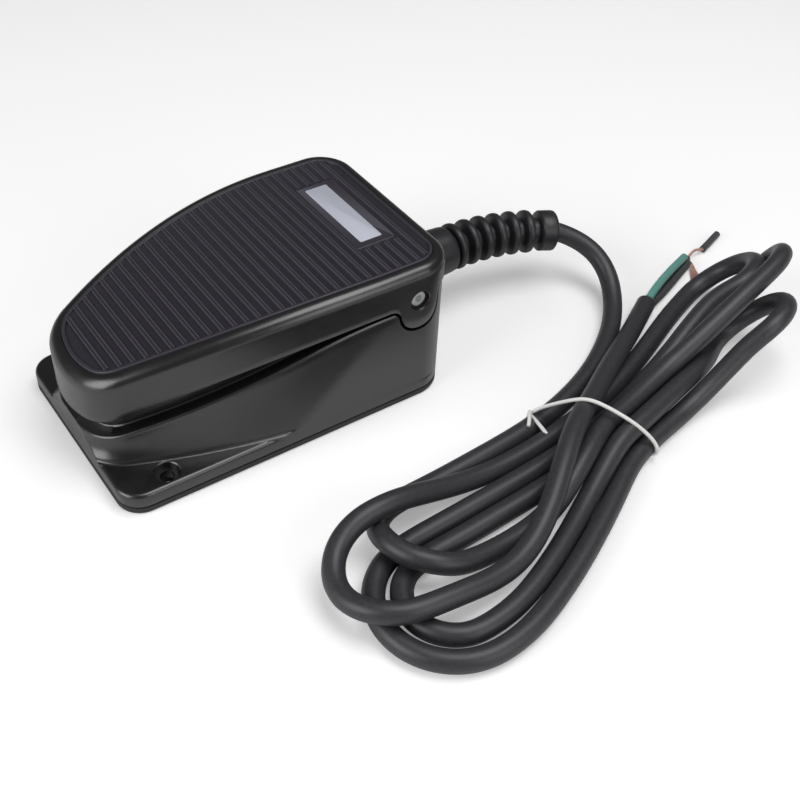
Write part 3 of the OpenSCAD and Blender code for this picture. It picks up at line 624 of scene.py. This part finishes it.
# Known fault: this opens the pocket at -Y only; at +Y the wall stays whole and the lug sits in it
cut(base_shell, join(tools))
spring_x, buffer_x, buffer_y, clamp_x, clamp_y = -36, -48, 12, 48, 10
pin_boss_r, pin_boss_in, root_z = 8.4, 29, floor_z - 1
posts = []
for s in both:
    posts.append(lathe("post", [(6, root_z), (6, floor_z), (5.2, 25)],
                       (buffer_x, s * buffer_y, 0)))
    posts.append(lathe("post", [(3.6, root_z), (3.6, 20)], (clamp_x, s * clamp_y, 0)))
    ends = sorted((s * pin_boss_in, s * recess_in))
    posts.append(lathe("post", [(pin_boss_r, y) for y in ends], (pivot_x, 0, pivot_z), "Y"))
posts.append(lathe("post", [(10.5, root_z), (10.5, 10.2), (10.2, 10.5), (3, 10.5), (3, 8.6)],
                   (spring_x, 0, 0)))
for x, y in ((-1, 16), (21, 16), (30, 24)):
    posts.append(lathe("post", [(4.2, root_z), (3.8, 12)], (x, y, 0)))
base_shell = join([base_shell, *posts])
enamel_black = (0.0045, 0.0044, 0.0054)
enamel_coat = {"shine": 0.95, "mottle": 0.12, "spot": 160, "grain": 1500, "bump": 0.10}
enamel = finish("satin black enamel", enamel_black, 0.3, edge=0.25, **enamel_coat)
fit(base_shell, "base", "housing_black", enamel, "base_housing")

# ---- Base mat ----
# A flat sheet of nitrile rubber, moulded to the flange's outline and bonded under it so that the
# switch can't slide. The fixing screws pass through two clearance holes.
mat_steps = [(2.4, 0), (1.0, 0.05), (0.3, 0.35), (0, 0.9), (0, mat_t - 0.8),
             (0.25, mat_t - 0.5), (1.4, mat_t - 0.4), (1.6, mat_t + 0.05)]
mat_shell = loft("mat_shell", [flange_ring(inset, z) for inset, z in mat_steps])
mat_hole = [(hole_r + 1, -1), (hole_r + 1, mat_t + 1)]
cut(mat_shell, join([lathe("tool", mat_hole, (hole_x, s * hole_y, 0)) for s in both]))
mat_rubber = finish("matt mat rubber", (0.02, 0.02, 0.021), 0.62, mottle=0.25, grain=1800, bump=0.3)
fit(mat_shell, "base", "mat_rubber", mat_rubber, "base_mat")


def dress(mat, slot, *nodes):
    """Gives the kept solids their finish."""
    for node in nodes:
        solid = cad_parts[node]
        if not solid.material_slots:
            solid.data.materials.append(mat)
        for place in solid.material_slots:
            place.material = mat


# ---- Hinge pins, washers and bushes ----
# Two turned and zinc-plated steel pins with a hex socket, pressed into the base. Steel washers and
# sintered bronze bushes carry the pedal's lugs on them.
zinc = finish("bright zinc plate", (0.80, 0.81, 0.82), 0.42, metal=0.7, mottle=0.12, grain=5000,
              bump=0.08)
bronze = finish("oiled bronze", (0.05, 0.04, 0.03), 0.5, metal=0.6, mottle=0.3, grain=4000)
dress(zinc, "zinc_steel", "hinge_pins", "thrust_washers", "switch_bracket", "bracket_screws",
      "switch_screws", "lever_pin", "switch_lever", "cable_clamp", "clamp_screws", "earth_screw",
      "striker_screw", "striker_nut")
dress(bronze, "bronze", "pivot_bushes")

# ---- Pedal ----
# A die-cast treadle in the same enamel: an arched plate with a rounded edge, a skirt all round,
# and a hinge lug on each side that the skirt's lower edge sweeps down into.
edge_r, skirt_t, plate_t, tread_inset, tread_depth = 4, 3, 4, 5, 1.5
bush_r, bore_chamfer, bore_in = 4.05, 0.45, 36


def wall_in(station):
    """How thick the skirt is at a station: thicker in the hinge lugs."""
    x = plan_at(station, 0)[0]
    return lug_t if lug_front < x < pivot_x + lug_r else skirt_t


def level(drop):
    """A height that follows the pedal's top face, drop below it."""
    return lambda x, e: arch(x) - drop


# Rings from under the plate, down inside the skirt, round its edge and up the outside, over the
# rounded edge, and down into the tread's recess
pedal_rings = [ring(skirt_t, level(plate_t)),
               ring(wall_in, lambda x, e: arch(x) - plate_t - 0.3),
               ring(wall_in, lambda x, e: e + 0.3),
               ring(lambda s: wall_in(s) - 0.3, lambda x, e: e),
               ring(0.5, lambda x, e: e), ring(0.15, lambda x, e: e + 0.15),
               ring(0, lambda x, e: e + 0.5)]
for share in (0.2, 0.4, 0.6, 0.8, 1):
    pedal_rings.append(ring(0, lambda x, e: e + 0.5 + share * (arch(x) - edge_r - e - 0.5)))
for inward, down in rounding(edge_r, *range(10, 91, 10)):
    pedal_rings.append(ring(inward, level(down)))
pedal_rings += [ring(tread_inset - 0.5, level(0)), ring(tread_inset - 0.3, level(0.1)),
                ring(tread_inset - 0.2, level(0.35)), ring(tread_inset - 0.2, level(tread_depth))]
pedal_shell = loft("pedal_shell", pedal_rings)
bore = [(bush_r, bore_in), (bush_r, half_w - 0.4), (bush_r + bore_chamfer, half_w + 0.05),
        (bush_r + bore_chamfer, half_w + 3)]
cut(pedal_shell, join([lathe("tool", [(r, s * h) for r, h in bore],
                             (pivot_x, 0, pivot_z), "Y") for s in both]))
striker_x = 2
pads = [lathe("post", [(4, 40.6), (4.8, 44.6), (10, 44.6), (10, 47.8)], (spring_x, 0, 0)),
        lathe("post", [(5.5, 52), (5.5, 57)], (striker_x, 0, 0))]
for s in both:
    pads.append(lathe("post", [(5.5, 37.2), (5.5, 45.5)], (buffer_x, s * buffer_y, 0)))
pedal_shell = join([pedal_shell, *pads])
pedal_enamel = finish("pedal enamel", enamel_black, 0.3, edge=0.3, **enamel_coat)
fit(pedal_shell, "pedal", "pedal_black", pedal_enamel, "pedal")

# ---- Tread ----
# A moulded rubber tread let into the pedal's top: cross ribs that run into a raised border, and a
# flat pad near the heel for a name plate.
rib_x0, rib_pitch, cross_ribs, border_w, floor_drop = -59.3, 4.27, 29, 1.5, 0.5
pad_x, pad_y, pad_top, pad_gap = (40, 57), (-22, 23.5), 0.4, 0.9
tread_steps = [(0, tread_depth - 0.02), (0, 0.0), (0.12, -0.28), (0.35, -0.4), (0.95, -0.4),
               (1.2, -0.28), (1.35, 0.0), (border_w, floor_drop - 0.08)]
tread_rings = [ring(tread_inset + inset, level(drop)) for inset, drop in tread_steps]
tread_rings.append(ring(tread_inset + border_w + 0.25, level(floor_drop)))
tread_pad = loft("tread_pad", tread_rings)
side_line = [plan_at(s, tread_inset + border_w) for s in stations[:half_n]]


def half_width(x):
    """Half the width inside the border at x."""
    for (x0, y0), (x1, y1) in zip(side_line, side_line[1:]):
        if x0 <= x < x1:
            return y0 + (y1 - y0) * (x - x0) / (x1 - x0)
    return side_line[-1][1]


# A rib's section has a fine ridge along each of its two edges
rib_half = [(0.36, 0.74), (0.48, 0.9), (0.6, 0.96), (0.72, 0.86), (0.8, 0.6), (0.88, 0.1),
            (0.95, -0.15)]
rib_section = [(-u, w) for u, w in reversed(rib_half)] + [(0, 0.66)] + rib_half


def rib(x, y0, y1):
    """One cross rib from y0 to y1, square to the pedal's arched top."""
    slope = 2 * max(0, crown_x - x) / toe_fall
    outline = [(x + u - slope * w, arch(x + u) - floor_drop + w) for u, w in rib_section]
    return slab("rib", outline, y0, y1)


ribs = []
for k in range(cross_ribs):
    x = rib_x0 + rib_pitch * k
    reach = min(half_width(x - 0.6), half_width(x + 0.6)) + 0.35
    if pad_x[0] - 1 < x < pad_x[1] + 1:
        ribs += [rib(x, -reach, pad_y[0] - pad_gap), rib(x, pad_y[1] + pad_gap, reach)]
    else:
        ribs.append(rib(x, -reach, reach))


def tile(name, x_range, y_range, corner, steps, per_corner=7):
    """A flat plate with round corners; steps are (inset, height) from its foot to its top."""
    points = []
    for inset, z in steps:
        r = max(0.02, corner - inset)
        for sx, sy, start in ((1, 1, 0), (-1, 1, 90), (-1, -1, 180), (1, -1, 270)):
            cx = (x_range[1] - corner) if sx > 0 else (x_range[0] + corner)
            cy = (y_range[1] - corner) if sy > 0 else (y_range[0] + corner)
            for a in arc_angles(start, start + 90, per_corner - 1):
                points.append((cx + r * math.cos(a), cy + r * math.sin(a), z))
    count = 4 * per_corner
    faces = skin_faces(count, len(steps))
    faces += [list(range(count)), list(range((len(steps) - 1) * count, len(steps) * count))]
    return mesh_piece(name, points, faces, 60)


top_z = arch(pad_x[0])
pad_steps = [(-0.3, -0.7), (-0.1, -0.2), (0, 0.2), (0.15, pad_top - 0.05), (0.35, pad_top)]
plate_pad = tile("plate_pad", pad_x, pad_y, 1.2, [(inset, top_z + h) for inset, h in pad_steps])
tread = join([tread_pad, *ribs, plate_pad])
# edge=0.9 paints a highlight along both edges of each rib and the border
tread_rubber = finish("grained tread rubber", (0.020, 0.018, 0.025), 0.45, mottle=0.18, spot=900,
                      grain=3000, bump=0.35, edge=0.9)
fit(tread, "pedal", "tread_rubber", tread_rubber, "tread_mat")

# ---- Name plate ----
# A bare strip of thin satin aluminium with round corners. It is stuck on the tread's flat pad, and
# its grain runs along the strip.
plate_x, plate_y, plate_corner, plate_rise = (43.3, 52.8), (-18.9, 21), 0.6, 0.25
pad_z = top_z + pad_top
name_plate = tile("name_plate", plate_x, plate_y, plate_corner,
                  [(0, pad_z - 0.05), (0, pad_z + 0.18), (0.1, pad_z + plate_rise)])
plate_silver = finish("satin aluminium", (0.50, 0.52, 0.59), 0.45, mottle=0.05, spot=60, grain=900,
                      stretch=(8, 1, 8), bump=0.05)
fit(name_plate, "pedal", "zinc_steel", plate_silver)

# ---- Snap switch ----
# A sealed snap-action switch on its bracket under the pedal: two halves of a glass-filled nylon
# case, brass terminals, a red plunger and a plain steel lever.
nylon = finish("dark nylon", (0.02, 0.023, 0.028), 0.5, mottle=0.15, grain=2500)
nylon_cover = finish("nylon cover", (0.028, 0.032, 0.038), 0.48, mottle=0.15, grain=2500)
red_nylon = finish("red plunger", (0.36, 0.02, 0.02), 0.4, grain=3000)
brass = finish("brass", (0.66, 0.45, 0.16), 0.32, metal=1.0, mottle=0.12, grain=5000)
dress(nylon, "switch_plastic", "switch_case")
dress(nylon_cover, "cover_plastic", "switch_cover")
dress(red_nylon, "button_plastic", "switch_button")
dress(brass, "brass", "switch_terminals", "earth_terminal")

# ---- Return spring, its guide and the stop buffers ----
# A drawn steel coil spring lifts the pedal, held in line by a moulded acetal guide. Rubber buffers
# on the base's posts stop the pedal softly.
spring_steel = finish("spring steel", (0.34, 0.34, 0.35), 0.34, metal=1.0, mottle=0.15, grain=5000)
acetal = finish("grey acetal", (0.05, 0.053, 0.058), 0.45, grain=2500)
buffer_rubber = finish("buffer rubber", (0.015, 0.015, 0.016), 0.65, grain=2000, bump=0.25)
dress(spring_steel, "spring_steel", "return_spring")
dress(acetal, "guide_plastic", "spring_guide")
dress(buffer_rubber, "buffer_rubber", "stop_buffers")

# ---- Inner leads ----
# The cord's three PVC-covered cores inside the base. They run from the cord's clamp to the switch
# and to earth, and are crimped in red vinyl sleeves.
white_pvc = finish("white core PVC", (0.72, 0.72, 0.70), 0.4, mottle=0.06, grain=3500)
red_vinyl = finish("red vinyl", (0.45, 0.03, 0.035), 0.38, mottle=0.1, grain=3000)
dress(green_pvc, "green_pvc", "wire_earth")
dress(white_pvc, "white_pvc", "wire_common")
dress(black_pvc, "black_pvc", "wire_switched")
dress(red_vinyl, "red_vinyl", "spade_sleeves")
dress(jacket_pvc, "cord_pvc", "cord_stub")

# ---- Studio ----
# A plain white floor that keeps the shadows, with a faint glow that only the camera sees. Three
# wide soft lamps and a dim even surround light it.
floor_half = 4000
floor = mesh_piece("studio_floor", [(x * floor_half, y * floor_half, 0)
                                    for x, y in ((-1, -1), (1, -1), (1, 1), (-1, 1))],
                   [[0, 1, 2, 3]])
paper = bpy.data.materials.new("studio paper")
paper.use_nodes = True
nodes, wires = paper.node_tree.nodes, paper.node_tree.links
sheet = nodes["Principled BSDF"]
sheet.inputs["Base Color"].default_value = (0.82, 0.82, 0.82, 1)
sheet.inputs["Roughness"].default_value = 0.9
glow = nodes.new("ShaderNodeEmission")
lift = nodes.new("ShaderNodeAddShader")
mix = nodes.new("ShaderNodeMixShader")
glow.inputs["Strength"].default_value = 0.28
wires.new(sheet.outputs[0], lift.inputs[0])
wires.new(glow.outputs[0], lift.inputs[1])
seen = nodes.new("ShaderNodeLightPath")
wires.new(seen.outputs["Is Camera Ray"], mix.inputs[0])
wires.new(sheet.outputs[0], mix.inputs[1])
wires.new(lift.outputs[0], mix.inputs[2])
wires.new(mix.outputs[0], nodes["Material Output"].inputs[0])
floor.data.materials.append(paper)
world = bpy.data.worlds.new("studio")
bpy.context.scene.world = world
world.use_nodes = True
sky = world.node_tree.nodes["Background"]
sky.inputs["Color"].default_value = (1, 1, 1, 1)
sky.inputs["Strength"].default_value = 0.12
# Each lamp: name, place in metres, width in metres, power in watts
lamps = (("lamp_top", (0.28, -0.2, 1.0), 0.7, 6.2), ("lamp_left", (-0.95, 0.0, 0.5), 0.75, 7),
         ("lamp_front", (0.3, -1.0, 0.5), 0.7, 3))
aim_at = Vector((0.03, -0.03, 0.03))
for name, place, width, power in lamps:
    lamp = bpy.data.objects.new(name, bpy.data.lights.new(name, "AREA"))
    lamp.data.size = width
    lamp.data.energy = power
    lamp.location = place
    lamp.rotation_euler = (aim_at - Vector(place)).to_track_quat("-Z", "Y").to_euler()
    bpy.context.scene.collection.objects.link(lamp)
bpy.context.scene.view_settings.view_transform = "Standard"
